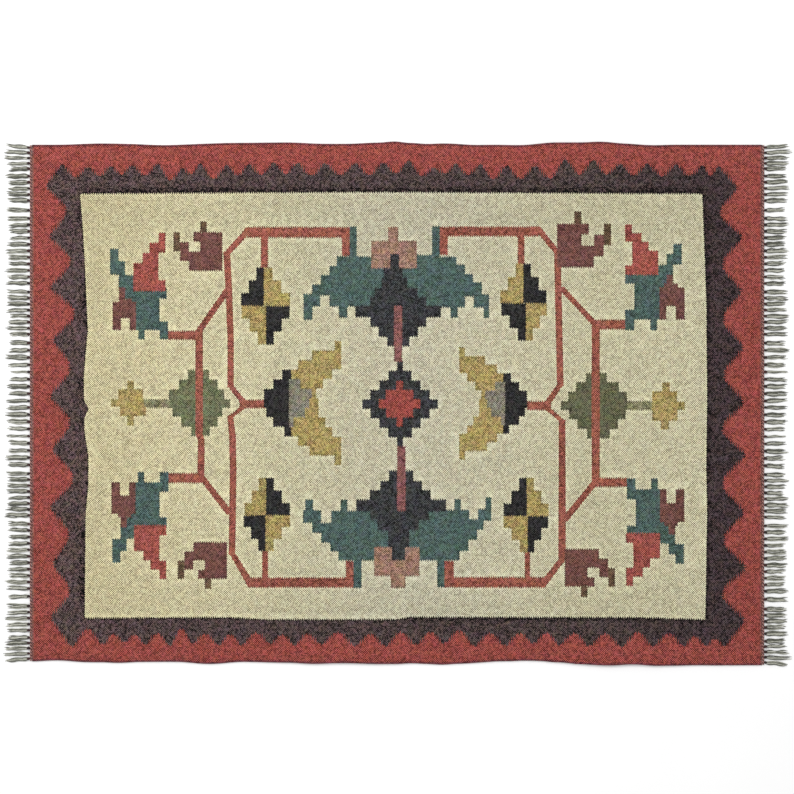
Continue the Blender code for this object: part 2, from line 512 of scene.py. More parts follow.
def draw_vines(cartoon):
    """The red vines: a broken octagon round the middle and an outer stem on each side of it."""
    # left half of the octagon
    cartoon.vines(
        [(-338, 411, 22), (-395, 349, 18)],
        [(-395, 352, 16), (-390, 262, 16), (-386, 149, 15), (-386, 38, 15)],
        [(-386, 42, 15), (-357, 6, 18)],
        [(-357, -8, 18), (-387, -30, 15)],
        [(-387, -26, 14), (-382, -72, 16), (-380, -150, 16), (-383, -350, 16)],
        [(-381, -348, 15), (-336, -424, 20)],
    )
    cartoon.blocks(
        "vine",
        (-366, -307, -10, 10),
        (-348, -110, 386, 411),
        (-128, -110, 344, 390),
        (-316, -299, 312, 390),
        (-346, -101, -426, -402),
        (-119, -101, -404, -364),
        (-313, -299, -404, -340),
    )
    # right half of the octagon
    cartoon.vines(
        [(322, 412, 20), (372, 352, 17)],
        [(372, 358, 16), (376, 172, 16), (379, 42, 16)],
        [(379, 46, 15), (351, 5, 18)],
        [(351, -12, 18), (384, -40, 15)],
        [(383, -36, 16), (383, -364, 18)],
        [(383, -360, 18), (335, -423, 20)],
    )
    cartoon.blocks(
        "vine",
        (302, 358, -14, 7),
        (99, 329, 389, 412),
        (99, 118, 346, 390),
        (280, 296, 322, 390),
        (110, 346, -426, -401),
        (110, 132, -403, -364),
        (296, 309, -403, -340),
    )
    # outer stems
    cartoon.vines(
        [(-391, 268, 18), (-459, 170, 18)],
        [(-459, 172, 18), (-459, -70, 17), (-454, -84, 16), (-455, -172, 17)],
        [(-453, -170, 18), (-386, -256, 20)],
    )
    cartoon.blocks("vine", (-531, -458, 149, 170), (-533, -452, -183, -160))
    cartoon.vines(
        [(379, 272, 18), (460, 185, 18)],
        [(461, 192, 19), (461, -182, 19)],
        [(462, -178, 19), (386, -272, 20)],
    )
    cartoon.blocks("vine", (458, 531, 173, 196), (458, 533, -192, -171))
    # ends of the octagon's arms
    cartoon.blocks(
        "teal",
        (-110, -93, 340, 412),
        (-101, -82, -427, -355),
        (81, 99, 342, 413),
        (93, 110, -425, -355),
    )


def draw_far_crown(cartoon):
    """The far crown: two teal wings, a pink head over them and a stepped navy body."""
    rows = ((321, -140, 0), (300, -157, 0), (278, -177, 0), (256, -197, 0), (251, -217, 0))
    cartoon.tower("teal", 343, rows)
    cartoon.blocks("teal", (-217, -178, 226, 252), (-157, -50, 226, 252))
    cartoon.blocks("teal", (-217, -196, 195, 227), (-135, -115, 200, 227))
    rows = ((324, 0, 138), (302, 0, 158), (283, 0, 176), (255, 0, 197), (249, 0, 214))
    cartoon.tower("teal", 342, rows)
    cartoon.blocks("teal", (178, 214, 224, 250), (46, 158, 224, 250))
    cartoon.blocks("teal", (201, 214, 199, 225), (124, 141, 200, 225), (46, 81, 330, 347))
    cartoon.blocks("pink", (-60, 46, 315, 379), (-21, 3, 378, 411))
    rows = ((293, -31, 13), (269, -36, 24), (248, -52, 48), (228, -63, 68), (201, -97, 102))
    cartoon.tower("navy", 316, rows + ((179, -62, 68), (156, -43, 49), (134, -23, 29)))
    cartoon.blocks("navy", (-16, 5, 314, 348))


def draw_near_crown(cartoon):
    """The near crown, which mirrors the far one as well as a weaver's eye did."""
    cartoon.blocks("teal", (-213, -195, -248, -221), (-131, -115, -250, -221), (-218, -176, -276, -246))
    rows = ((-275, -153, 0), (-299, -197, 0), (-322, -176, 0), (-342, -155, 0), (-363, -136, 0))
    cartoon.tower("teal", -247, rows)
    cartoon.blocks("teal", (205, 219, -245, -216), (133, 148, -250, -220), (188, 219, -271, -243))
    rows = ((-267, 0, 168), (-292, 0, 201), (-315, 0, 186), (-341, 0, 166), (-363, 0, 145))
    cartoon.tower("teal", -245, rows)
    cartoon.blocks("pink", (-53, 52, -399, -332), (-15, 20, -427, -397))
    rows = ((-178, -19, 38), (-199, -39, 58), (-221, -63, 78), (-249, -95, 114), (-269, -62, 74))
    cartoon.tower("navy", -154, rows + ((-292, -46, 51), (-332, -21, 28), (-362, -12, 19)))


def draw_middle(cartoon):
    """The stepped diamond with its cross, and the stems that tie it to the crowns."""
    cartoon.diamond("navy", (7, 0), 22.2, (7, 27, 48, 69, 88, 69, 48, 28, 7))
    cartoon.diamond("madder", (6, 1), 21.2, (8, 32, 48, 31, 7))
    cartoon.blocks("stem", (-7, 12, 98, 228), (0, 20, -248, -98))


# Boxes of the charted motifs: where their columns start and end, then where their rows end and start
BIRDS = (
    (-519, -405, 309, 424),
    (497, 371, 317, 447),
    (-509, -394, -320, -429),
    (506, 389, -336, -448),
)
LEAVES = (
    (-666, -534, 244, 361),
    (661, 529, 279, 372),
    (-661, -534, -262, -368),
    (666, 533, -282, -371),
)
FEET = (
    (-665, -531, 150, 245),
    (673, 529, 171, 280),
    (-668, -530, -157, -263),
    (672, 533, -172, -283),
)
PETALS = (
    (-612, -537, 262, 398),
    (606, 529, 300, 417),
    (-610, -535, -281, -406),
    (610, 531, -299, -422),
)
LOZENGES = (
    # level of the middle, far and near point; then outer, middle and inner edge above and below it
    (228, 317, 138, (-362, -309, -248), (-361, -304, -249)),
    (234, 326, 147, (347, 293, 239), (348, 299, 242)),
    (-258, -341, -171, (-356, -305, -248), (-354, -304, -248)),
    (-260, -344, -171, (351, 303, 247), (352, 301, 247)),
)
FANS = (
    (-309, -129, -142, 147),
    (302, 144, -129, 132),
)
MOTIF_DYES = {
    "e": "grey",
    "g": "gold",
    "k": "black",
    "m": "maroon",
    "p": "petal",
    "t": "teal",
    "u": "umber",
}


def draw_motifs(cartoon):
    """The charted motifs, woven in each quarter or half and turned over to face the middle."""
    for chart, boxes in ((BIRD, BIRDS), (LEAF, LEAVES), (FOOT, FEET), (PETAL, PETALS)):
        for box in boxes:
            cartoon.chart(chart, MOTIF_DYES, *box)
    for level, far, near, above, below in LOZENGES:
        cartoon.chart(STEPS, {"s": "black"}, above[0], above[1], level, far)
        cartoon.chart(STEPS, {"s": "gold"}, above[2], above[1], level, far)
        cartoon.chart(STEPS, {"s": "gold"}, below[0], below[1], level, near)
        cartoon.chart(STEPS, {"s": "black"}, below[2], below[1], level, near)
    for box in FANS:
        cartoon.chart(FAN, MOTIF_DYES, *box)


def draw_cartoon():
    """The whole pattern: the ground, all that lies on it, then the end picks and the selvedges."""
    cartoon = Cartoon()
    cartoon.add_area("madder", edge_row(-1, 0.0) + edge_row(+1, 0.0)[::-1])
    draw_borders(cartoon)
    draw_stars(cartoon)
    draw_vines(cartoon)
    draw_far_crown(cartoon)
    draw_near_crown(cartoon)
    draw_middle(cartoon)
    draw_motifs(cartoon)
    for end in (-1, 1):
        inner = end * (0.5 * CLOTH_LENGTH - END_PICKS)
        rim = end * 0.5 * CLOTH_LENGTH
        corners = ((inner, -1), (inner, 1), (rim, 1), (rim, -1))
        picks = [Vector((along, side * half_width(side, along))) for along, side in corners]
        cartoon.add_area("end_picks", picks)
    for side in (-1, 1):
        cord = edge_row(side, 0.0) + edge_row(side, SELVEDGE_WIDTH)[::-1]
        cartoon.add_area("selvedge", cord)
    return cartoon


# ------------------------------------------------ the cloth
def edge_row(side, inset):
    """Points along a long edge, at one distance in from it."""
    count = round(CLOTH_LENGTH / STATION)
    places = [CLOTH_LENGTH * (index / count - 0.5) for index in range(count + 1)]
    return [Vector((along, side * (half_width(side, along) - inset))) for along in places]


def spread_points(areas):
    """The points that the cloth is cut through, and each area's outline as indices of them."""
    points = []
    outline_indices = []
    for _, outline in areas:
        outline_indices.append(list(range(len(points), len(points) + len(outline))))
        points += outline
    taken = {(round(point.x / POINT_CELL), round(point.y / POINT_CELL)) for point in points}

    def add_free(point):
        """Adds a point where none is near it."""
        column = round(point.x / POINT_CELL)
        row = round(point.y / POINT_CELL)
        near = ((0, 0), (1, 0), (-1, 0), (0, 1), (0, -1))
        if not any((column + right, row + up) in taken for right, up in near):
            taken.add((column, row))
            points.append(point)

    # banks of the grooves, along both sides of each outline
    for _, outline in areas[1:-EDGINGS]:
        for index in range(0, len(outline), 2):
            run = outline[(index + 1) % len(outline)] - outline[index - 1]
            if run.length > 0.0:
                aside = Vector((-run.y, run.x)).normalized() * GROOVE_WIDTH
                add_free(outline[index] + aside)
                add_free(outline[index] - aside)
    # the selvedges' round sections
    for side in (-1, 1):
        for inset in SELVEDGE_ROWS[1:]:
            points += edge_row(side, inset)[1:-1]
    # a loose grid inside the colour areas
    rng = random.Random(5)
    rows = int(CUSHION_WIDTH / CUSHION)
    columns = int(CLOTH_LENGTH / CUSHION)
    for row in range(-rows // 2, rows // 2 + 1):
        for column in range(-columns // 2, columns // 2 + 1):
            along = (column + 0.5 * (row % 2)) * CUSHION + rng.uniform(-CUSHION_STRAY, CUSHION_STRAY)
            across = row * CUSHION + rng.uniform(-CUSHION_STRAY, CUSHION_STRAY)
            if abs(along) < 0.5 * CLOTH_LENGTH - CUSHION_MARGIN:
                add_free(Vector((along, across)))
    return points, outline_indices


def find_joints(count, faces, face_dyes, dyes):
    """Where dyes meet: groove and painted joint light of each point, and the edges on the cloth's rim."""
    beside = {}
    for face, dye in zip(faces, face_dyes):
        for first, second in zip(face, face[1:] + face[:1]):
            edge = (min(first, second), max(first, second))
            beside.setdefault(edge, []).append((dye, first, second))
    undyed = dyes.index("cream")
    edging = {dyes.index("end_picks"), dyes.index("selvedge")}
    groove = [0.0] * count
    turned = [0.0] * count
    rim = []
    for sides in beside.values():
        if len(sides) == 1:
            rim.append(sides[0][1:])
        elif sides[0][0] != sides[1][0]:
            pair = (sides[0][0], sides[1][0])
            for index in sides[0][1:]:
                groove[index] = 0.0 if edging & set(pair) else 1.0
                turned[index] = max(turned[index], UNDYED_PAINTED_JOINT if undyed in pair else DYED_PAINTED_JOINT)
    return groove, turned, rim


def section(along, across, groove):
    """Height of the underside and of the face at one place of the cloth."""
    side = 1 if across > 0.0 else -1
    inset = max(half_width(side, along) - abs(across), 0.0)
    radius = 0.5 * SELVEDGE_WIDTH
    if inset < SELVEDGE_WIDTH - 1e-5:
        chord = math.sqrt(max(radius**2 - (radius - inset) ** 2, 0.0))
        half = SELVEDGE_RIM + chord * SELVEDGE_ROUND
    else:
        rise = smooth_step((inset - SELVEDGE_WIDTH) / SELVEDGE_RISE)
        half = BESIDE_SELVEDGE + (0.5 * CLOTH_THICKNESS - BESIDE_SELVEDGE) * rise
    end = 0.5 * CLOTH_LENGTH - abs(along)
    half *= 1.0 - END_THINNING + END_THINNING * smooth_step(end / END_RISE)
    half -= GROOVE_DEPTH * groove
    spot = Vector((along * repeats(COCKLE[0]), across * repeats(COCKLE[1]), 1.7))
    cockle = 0.5 + 0.5 * noise.noise(spot)
    spot = Vector((along * repeats(RIPPLE[0]), across * repeats(RIPPLE[1]), 4.1))
    ripple = 0.5 + 0.5 * noise.noise(spot)
    calm = smooth_step(inset / FLAT_RIM) * smooth_step(end / FLAT_RIM)
    uneven = (COCKLE_HEIGHT * cockle + RIPPLE_HEIGHT * ripple) * calm
    middle = lift(along, across) + 0.5 * CLOTH_THICKNESS + uneven
    return middle - half, middle + half


def make_piece(name, points, faces, materials, shades, attribute, values):
    """A smooth mesh: shades picks the material of each face, and each point gets its value."""
    mesh = bpy.data.meshes.new(name)
    mesh.from_pydata(points, [], faces)
    for material in materials:
        mesh.materials.append(material)
    mesh.polygons.foreach_set("material_index", shades)
    mesh.shade_smooth()
    mesh.attributes.new(attribute, "FLOAT", "POINT").data.foreach_set("value", values)
    mesh.update()
    piece = bpy.data.objects.new(name, mesh)
    bpy.context.scene.collection.objects.link(piece)
    return piece


def build_weave(materials):
    """Cuts the cloth along its colour areas and gives it both faces, its selvedges and its waves."""
    areas = draw_cartoon().areas
    points, outline_indices = spread_points(areas)
    flat, _, faces, _, _, sources = delaunay_2d_cdt(points, [], outline_indices, 1, MERGED)
    dyes = list(materials)
    face_dyes = [dyes.index(areas[max(source)][0]) for source in sources]
    count = len(flat)
    groove, turned, rim = find_joints(count, faces, face_dyes, dyes)
    top = []
    bottom = []
    for place, depth in zip(flat, groove):
        low, high = section(place.x, place.y, depth)
        top.append((place.x, place.y, high))
        bottom.append((place.x, place.y, low))
    all_faces = [tuple(face) for face in faces]
    all_faces += [tuple(index + count for index in reversed(face)) for face in faces]
    all_faces += [(second, first, first + count, second + count) for first, second in rim]
    shades = face_dyes + face_dyes + [dyes.index("selvedge")] * len(rim)
    return make_piece(
        "kilim_weave", top + bottom, all_faces, materials.values(), shades, "painted_joint_light", turned + turned
    )


# ------------------------------------------------ materials
def linear(code):
    """Linear colour of an sRGB hex value."""
    channels = [int(code[index : index + 2], 16) / 255.0 for index in (0, 2, 4)]
    return [c / 12.92 if c <= 0.04045 else ((c + 0.055) / 1.055) ** 2.4 for c in channels] + [1.0]


def add(tree, kind, inputs=None, stops=(), **settings):
    """Adds a node with its settings. An input is a value, or the socket that it comes from.

    A ramp's stops are pairs of a place and an sRGB hex value.
    """
    node = tree.nodes.new(kind)
    for name, value in settings.items():
        setattr(node, name, value)
    for name, value in (inputs or {}).items():
        if isinstance(value, bpy.types.NodeSocket):
            tree.links.new(value, node.inputs[name])
        else:
            node.inputs[name].default_value = value
    while stops and len(node.color_ramp.elements) < len(stops):
        node.color_ramp.elements.new(0.5)
    for index, (place, code) in enumerate(stops):
        node.color_ramp.elements[index].position = place
        node.color_ramp.elements[index].color = linear(code)
    return node


def start_material(name):
    material = bpy.data.materials.new(name)
    material.use_nodes = True
    tree = material.node_tree
    return material, tree, tree.nodes["Principled BSDF"]


# The dyed yarns: dark, middle and light shades of each. The darkest is the shadow between two picks.
YARNS = {
    "madder": ("300e0a", "7c3832", "c2645b"),
    "end_picks": ("361b18", "814c43", "b6796e"),
    "charcoal": ("020101", "161111", "796a6b"),
    "cream": ("564d3e", "c9bc9f", "f6f6d5"),
    "green": ("201d12", "5d5c46", "999676"),
    "gold": ("392f15", "8e7d4e", "dac27e"),
    "vine": ("32150c", "84463a", "c77a68"),
    "teal": ("0f1916", "3d4f4b", "69827c"),
    "pink": ("362319", "846556", "c89e89"),
    "navy": ("010101", "0f0f11", "555658"),
    "stem": ("2c130f", "704846", "b17874"),
    "maroon": ("230f0b", "5e3c36", "96675f"),
    "black": ("010101", "0a090a", "454444"),
    "grey": ("27231a", "6d695b", "aca694"),
    "selvedge": ("21080a", "5d2c2f", "945054"),
    "petal": ("35100c", "82413a", "cd7166"),
    "umber": ("1b130b", "544131", "886e56"),
    "olive": ("262417", "6e6c50", "b3af88"),
}

# How the light and dark of a yarn come about: the lattice of its beads, with painted shade in the hollows
# between them, the mix from pick to pick, streaks along the weft, flecks, and the painted light where it
# meets another dye: a painted highlight in the undyed yarn, painted shade in the dyed ones
WOOLS = {
    "cream": (1.60, 0.90, 1.00, 0.60, 0.40),
    "dyed": (1.50, 1.30, 1.00, 0.60, -0.35),
    "charcoal": (1.50, 2.00, 1.40, 1.10, -0.90),
    "navy": (1.50, 1.70, 1.20, 0.90, -0.30),
    "black": (1.50, 1.70, 1.20, 0.90, -0.30),
}
CLOUDS = 0.40
UNDYED_PAINTED_JOINT = 1.0  # how strongly the painted joint light shows beside the undyed field, and beside another dye
DYED_PAINTED_JOINT = 0.1
DYED_STRAY = (0.50, 0.62, 0.90)  # how far a hand-dyed colour strays, by red, green and blue
UNDYED_STRAY = (0.16, 0.14, 0.26)

FLOATS = (HALF_PAIR, 1.2 * HALF_PAIR, 1.0)  # size of one weft's float over a warp
LATTICE_DRIFT = 0.0030  # how far warps and picks stray from their even places

# Grain of each pattern in the yarn, in millimetres
DRIFT_GRAIN = 38.5
STREAK_GRAIN = (2.38, 9.1, 5.0)
FLECK_GRAIN = 3.85
CLOUD_GRAIN = 23.8
DYE_GRAIN = 14.3

# Lots of yarn differ: bands of another cast follow one another along the rug, as (place, tint)
ABRASH = {
    "cream": (
        (0.0, "f7f0de"),
        (0.12, "fef8e9"),
        (0.25, "fffbf0"),
        (0.35, "f7f5ee"),
        (0.45, "f4f2f2"),
        (0.55, "f3f2f4"),
        (0.7, "f8f6f2"),
        (0.8, "f6f4ed"),
        (1.0, "fbf9f3"),
    ),
    "charcoal": ((0.0, "fff0ec"), (0.2, "f0e4e0"), (0.8, "e2dad4"), (1.0, "c8bcc0")),
    "green": ((0.0, "f2fff6"), (0.45, "f2fff6"), (0.6, "dce2de"), (1.0, "dce2de")),
}
# Across the rug, from the near edge to the far one, the undyed yarn is tinted darker towards the far
# border and a little beside the near one
ACROSS = ((0.0, "fafafa"), (0.13, "ffffff"), (0.65, "ffffff"), (0.84, "f9f9f9"), (0.95, "f4f4f4"))
LOTS_ALONG = 0.75  # the lots run from minus to plus this far
ACROSS_REACH = 0.5


def tint_lots(tree, place, half_span, colour, lots):
    """Tints a colour along one axis: by the lots of yarn that follow one another along the rug, and for
    the undyed yarn also across it.
    """
    cast = add(tree, "ShaderNodeMapRange", {0: place, 1: -half_span, 2: half_span})
    tint = add(tree, "ShaderNodeValToRGB", {0: cast.outputs[0]}, lots)
    mixed = add(tree, "ShaderNodeVectorMath", {0: colour, 1: tint.outputs[0]}, operation="MULTIPLY")
    return mixed.outputs[0]


def drift(tree, place):
    """Places shifted a little, as warps and picks stray from an even grid."""
    grain = {"Vector": place, "Scale": repeats(DRIFT_GRAIN), "Detail": 2.0}
    wave = add(tree, "ShaderNodeTexNoise", grain).outputs["Color"]
    centred = add(tree, "ShaderNodeVectorMath", {0: wave, 1: (0.5, 0.5, 0.5)}, operation="SUBTRACT")
    inputs = {0: centred.outputs[0], "Scale": LATTICE_DRIFT}
    shift = add(tree, "ShaderNodeVectorMath", inputs, operation="SCALE").outputs[0]
    return add(tree, "ShaderNodeVectorMath", {0: place, 1: shift}, operation="ADD").outputs[0]


def beads(tree, axes):
    """The lattice of beads, -1 in the hollows and 1 on top: one over every second warp in a pick."""
    waves = []
    for axis in ("X", "Y"):
        inputs = {0: axes.outputs[axis], 1: math.tau / WARP_PAIR}
        turn = add(tree, "ShaderNodeMath", inputs, operation="MULTIPLY").outputs[0]
        waves.append(add(tree, "ShaderNodeMath", {0: turn}, operation="SINE").outputs[0])
    return add(tree, "ShaderNodeMath", {0: waves[0], 1: waves[1]}, operation="MULTIPLY").outputs[0]


def picks(tree, place):
    """A tone for each float of a weft over a warp, since the yarn was spun from mixed fleece."""
    cells = add(tree, "ShaderNodeVectorMath", {0: place, 1: FLOATS}, operation="DIVIDE")
    whole = add(tree, "ShaderNodeVectorMath", {0: cells.outputs[0]}, operation="FLOOR").outputs[0]
    tone = add(tree, "ShaderNodeTexWhiteNoise", {"Vector": whole}, noise_dimensions="2D")
    return tone.outputs["Value"]


def streaks(tree, place, grain):
    """Long soft streaks of fibre, with a grain for each axis."""
    repeated = tuple(repeats(size) for size in grain)
    stretched = add(tree, "ShaderNodeVectorMath", {0: place, 1: repeated}, operation="MULTIPLY")
    inputs = {"Vector": stretched.outputs[0], "Scale": 1.0, "Detail": 3.0}
    return add(tree, "ShaderNodeTexNoise", inputs).outputs["Fac"]


def dye_stray(tree, place, colour, stray):
    """A colour that strays towards other hues from place to place, as hand dyeing leaves it."""
    grain = {"Vector": place, "Scale": repeats(DYE_GRAIN), "Detail": 3.0, "Roughness": 0.6}
    uneven = add(tree, "ShaderNodeTexNoise", grain).outputs["Color"]
    least = [1.0 - 0.5 * part for part in stray]
    cast = add(tree, "ShaderNodeVectorMath", {0: uneven, 1: stray}, operation="MULTIPLY")
    cast = add(tree, "ShaderNodeVectorMath", {0: cast.outputs[0], 1: least}, operation="ADD")
    strayed = add(tree, "ShaderNodeVectorMath", {0: colour, 1: cast.outputs[0]}, operation="MULTIPLY")
    return strayed.outputs[0]


def woven_yarn(dye, shades):
    """Hand-spun wool, or undyed jute in the field, beaten down hard over hidden cotton warps.

    Each pick shows as a row of small beads, one over every second warp, so light and dark make a
    fine lattice; the dark of the hollows between the beads is painted shade. The yarn took the dye
    unevenly, which leaves it heathered and streaked along the weft. It is dry and rough, without shine,
    with a faint sheen of loose fibre.
    """
    fibre = "jute" if dye == "cream" else "wool"
    material, tree, shader = start_material(f"{dye}_{fibre}_weave")
    place = add(tree, "ShaderNodeTexCoord").outputs["Object"]
    drifted = drift(tree, place)
    axes = add(tree, "ShaderNodeSeparateXYZ", {0: drifted})
    # the bead lattice gives the relief and, in the colour, painted shade in the hollows and painted light
    # on the tops
    bead = beads(tree, axes)
    streak = streaks(tree, place, STREAK_GRAIN)
    grain = {"Vector": place, "Scale": repeats(FLECK_GRAIN), "Detail": 1.0}
    fleck = add(tree, "ShaderNodeTexNoise", grain).outputs["Fac"]
    grain = {"Vector": place, "Scale": repeats(CLOUD_GRAIN), "Detail": 4.0, "Roughness": 0.65}
    cloud = add(tree, "ShaderNodeTexNoise", grain).outputs["Fac"]
    # painted joint light: where two dyes meet, the undyed yarn is painted lighter and the dyed yarns
    # darker
    turned = add(tree, "ShaderNodeAttribute", attribute_name="painted_joint_light").outputs["Fac"]

    value = 0.5
    lattice, mix, streaked, flecked, painted_joint_weight = WOOLS.get(dye, WOOLS["dyed"])
    # the bead term paints shade into the hollows and light onto the beads' tops; the last term is the
    # painted joint light
    for source, weight, middle in (
        (bead, lattice, 0.0),
        (picks(tree, drifted), mix, 0.5),
        (streak, streaked, 0.5),
        (fleck, flecked, 0.5),
        (cloud, CLOUDS, 0.5),
        (turned, painted_joint_weight, 0.0),
    ):
        bias = add(tree, "ShaderNodeMath", {0: source, 1: middle}, operation="SUBTRACT").outputs[0]
        total = {0: bias, 1: weight, 2: value}
        value = add(tree, "ShaderNodeMath", total, operation="MULTIPLY_ADD").outputs[0]
    stops = tuple(zip((0.0, 0.5, 1.0), shades))
    colour = add(tree, "ShaderNodeValToRGB", {0: value}, stops).outputs[0]
    colour = dye_stray(tree, place, colour, UNDYED_STRAY if dye == "cream" else DYED_STRAY)
    if dye in ABRASH:
        colour = tint_lots(tree, axes.outputs["X"], LOTS_ALONG, colour, ABRASH[dye])
    if dye == "cream":
        colour = tint_lots(tree, axes.outputs["Y"], ACROSS_REACH, colour, ACROSS)
    tree.links.new(colour, shader.inputs["Base Color"])

    height = add(tree, "ShaderNodeMath", {0: streak, 1: 0.6, 2: bead}, operation="MULTIPLY_ADD")
    relief = {"Height": height.outputs[0], "Strength": 0.55, "Distance": 0.0007}
    bump = add(tree, "ShaderNodeBump", relief)
    tree.links.new(bump.outputs["Normal"], shader.inputs["Normal"])
    rough = add(tree, "ShaderNodeMapRange", {0: cloud, 3: 0.84, 4: 0.97})
    tree.links.new(rough.outputs[0], shader.inputs["Roughness"])
    shader.inputs["IOR"].default_value = 1.53
    shader.inputs["Specular IOR Level"].default_value = 0.10
    shader.inputs["Sheen Weight"].default_value = 0.02
    shader.inputs["Sheen Roughness"].default_value = 0.6
    return material


# The cotton of the fringes: dark, middle and light shades of each
COTTONS = {
    "loose_cotton_warp": ("48493f", "929384", "dad9cd"),
    "pale_cotton_twining": ("88504a", "b07e75", "d0aea6"),
    "dark_cotton_twining": ("1a0a09", "542826", "86504b"),
}
LOOSE_WARP, PALE_TWINING, DARK_TWINING = range(len(COTTONS))
STRAND_GRAIN = (6.67, 1.429, 1.429)  # millimetres
PLY_TWIST = 0.0019  # from one groove between the plies to the next


def fringe_yarn(name, shades):
    """Cotton warp, plied and left loose: soft, matt, with grooves between the plies painted a little
    darker as shade.
    """
    material, tree, shader = start_material(name)
    place = add(tree, "ShaderNodeTexCoord").outputs["Object"]
    strand = streaks(tree, place, STRAND_GRAIN)
    # the yarn's tone: low values are painted shade between the yarns of a lock
    tone = add(tree, "ShaderNodeAttribute", attribute_name="yarn_tone_and_shade").outputs["Fac"]
    axes = add(tree, "ShaderNodeSeparateXYZ", {0: place})
    inputs = {0: axes.outputs["X"], 1: 0.6, 2: axes.outputs["Y"]}
    slanted = add(tree, "ShaderNodeMath", inputs, operation="MULTIPLY_ADD").outputs[0]
    turn = add(tree, "ShaderNodeMath", {0: slanted, 1: math.tau / PLY_TWIST}, operation="MULTIPLY")
    ply = add(tree, "ShaderNodeMath", {0: turn.outputs[0]}, operation="SINE").outputs[0]
    value = add(tree, "ShaderNodeMath", {0: strand, 1: 0.9, 2: tone}, operation="MULTIPLY_ADD").outputs[0]
    # in the colour the ply wave is painted shade in the grooves between the plies; in the bump it is
    # their relief
    value = add(tree, "ShaderNodeMath", {0: ply, 1: 0.08, 2: value}, operation="MULTIPLY_ADD").outputs[0]
    value = add(tree, "ShaderNodeMath", {0: value, 1: 0.45}, operation="SUBTRACT").outputs[0]
    stops = tuple(zip((0.05, 0.5, 0.95), shades))
    colour = add(tree, "ShaderNodeValToRGB", {0: value}, stops)
    tree.links.new(colour.outputs[0], shader.inputs["Base Color"])
    height = add(tree, "ShaderNodeMath", {0: strand, 1: 1.5, 2: ply}, operation="MULTIPLY_ADD")
    relief = {"Height": height.outputs[0], "Strength": 0.5, "Distance": 0.0005}
    bump = add(tree, "ShaderNodeBump", relief)
    tree.links.new(bump.outputs["Normal"], shader.inputs["Normal"])
    rough = add(tree, "ShaderNodeMapRange", {0: strand, 3: 0.82, 4: 0.95})
    tree.links.new(rough.outputs[0], shader.inputs["Roughness"])
    shader.inputs["IOR"].default_value = 1.53
    shader.inputs["Sheen Weight"].default_value = 0.1
    return material


# ------------------------------------------------ fringes
def half_end_locks(side, reach, rng):
    """[centre, width, length, lean] of the locks from the middle of an end out to one corner."""
    centres = []
    centre = FIRST_LOCK
    for count, pitch, gap in BUNCHES:
        for index in range(count):
            centres.append(centre + index * pitch)
        centre = centres[-1] + gap
    spread = (reach - CORNER_INSET) / centres[-1]
    centres = [centre * spread for centre in centres]
    locks = []
    for index, centre in enumerate(centres):
        width = LOCK_WIDTH * rng.uniform(*LOCK_WIDTHS)
        length = LOCK_LENGTH * rng.uniform(*LOCK_LENGTHS)
        lean = rng.uniform(-LOCK_LEAN, LOCK_LEAN)
        if index == THIN_LOCK:
            width = THIN_WIDTH
            lean = 0.0
        if index >= len(centres) - CORNER_LOCKS:
            share = (index - len(centres) + CORNER_LOCKS + 1) / CORNER_LOCKS
            longest = index == len(centres) - 2
            length = CORNER_LENGTH * (1.0 if longest else rng.uniform(*CORNER_LENGTHS))
            lean = CORNER_LEAN * share
        locks.append([side * centre, width, length, side * lean])
    return locks


def end_locks(low_reach, high_reach):
    """Locks of a whole end in order across it, each narrow enough to stand apart from the next."""
    low_seed, high_seed = LOCK_SEEDS
    locks = half_end_locks(-1, low_reach, random.Random(low_seed))
    locks += half_end_locks(+1, high_reach, random.Random(high_seed))
    locks.sort()
    for first, second in zip(locks, locks[1:]):
        room = second[0] - first[0] - LOCK_SPACE - abs(first[3] - second[3])
        first[1] = min(first[1], room)
        second[1] = min(second[1], room)
    return locks


class Strands:
    """Collects closed tubes of yarn for one piece, with a tone and a material for each."""

    def __init__(self):
        self.points = []
        self.faces = []
        self.tones = []
        self.shades = []

    def tube(self, path, sides, tone, shade):
        """A closed tube along (centre, radius) stations."""
        base = len(self.points)
        last = len(path) - 1
        for index, (centre, radius) in enumerate(path):
            ahead = path[min(index + 1, last)][0] - path[max(index - 1, 0)][0]
            ahead.normalize()
            across = ahead.cross(Vector((0.0, 0.0, 1.0))).normalized()
            up = across.cross(ahead)
            for corner in range(sides):
                angle = math.tau * corner / sides
                outward = across * math.cos(angle) + up * math.sin(angle)
                self.points.append(centre + outward * radius)
                self.tones.append(tone)
        for ring in range(last):
            for corner in range(sides):
                after = (corner + 1) % sides
                low = base + ring * sides
                high = low + sides
                self.faces.append((low + corner, low + after, high + after, high + corner))
                self.shades.append(shade)
        self.faces.append(tuple(base + corner for corner in reversed(range(sides))))
        self.faces.append(tuple(base + last * sides + corner for corner in range(sides)))
        self.shades += [shade, shade]


# One loose yarn. Its stations and the places where its shape changes are shares of its length.
YARN_STATIONS = (
    0.0, 0.04, 0.09, 0.15, 0.22, 0.29, 0.36, 0.43, 0.50, 0.57, 0.64, 0.71, 0.78, 0.85, 0.92, 0.97, 1.0,
)  # fmt: skip
YARN_SIDES = 7
YARN_RADIUS = 0.00125
YARN_RADII = (0.85, 1.15)  # least and greatest share of it
YARN_PITCH = 0.0022  # one yarn for each such width of the lock
YARN_SPREAD = 0.56  # the yarns spread over about this share of the lock's width to each side
YARN_LENGTHS = (1.10, 0.17)  # the longest share of the lock's length, and how much may be missing
KNOT_SPREAD = 0.45  # share of the spread at the knot
SPREAD_OVER = 0.22
GATHER = 0.10  # the yarns close up again by this share towards the tips
GATHER_FROM, GATHER_OVER = 0.70, 0.30
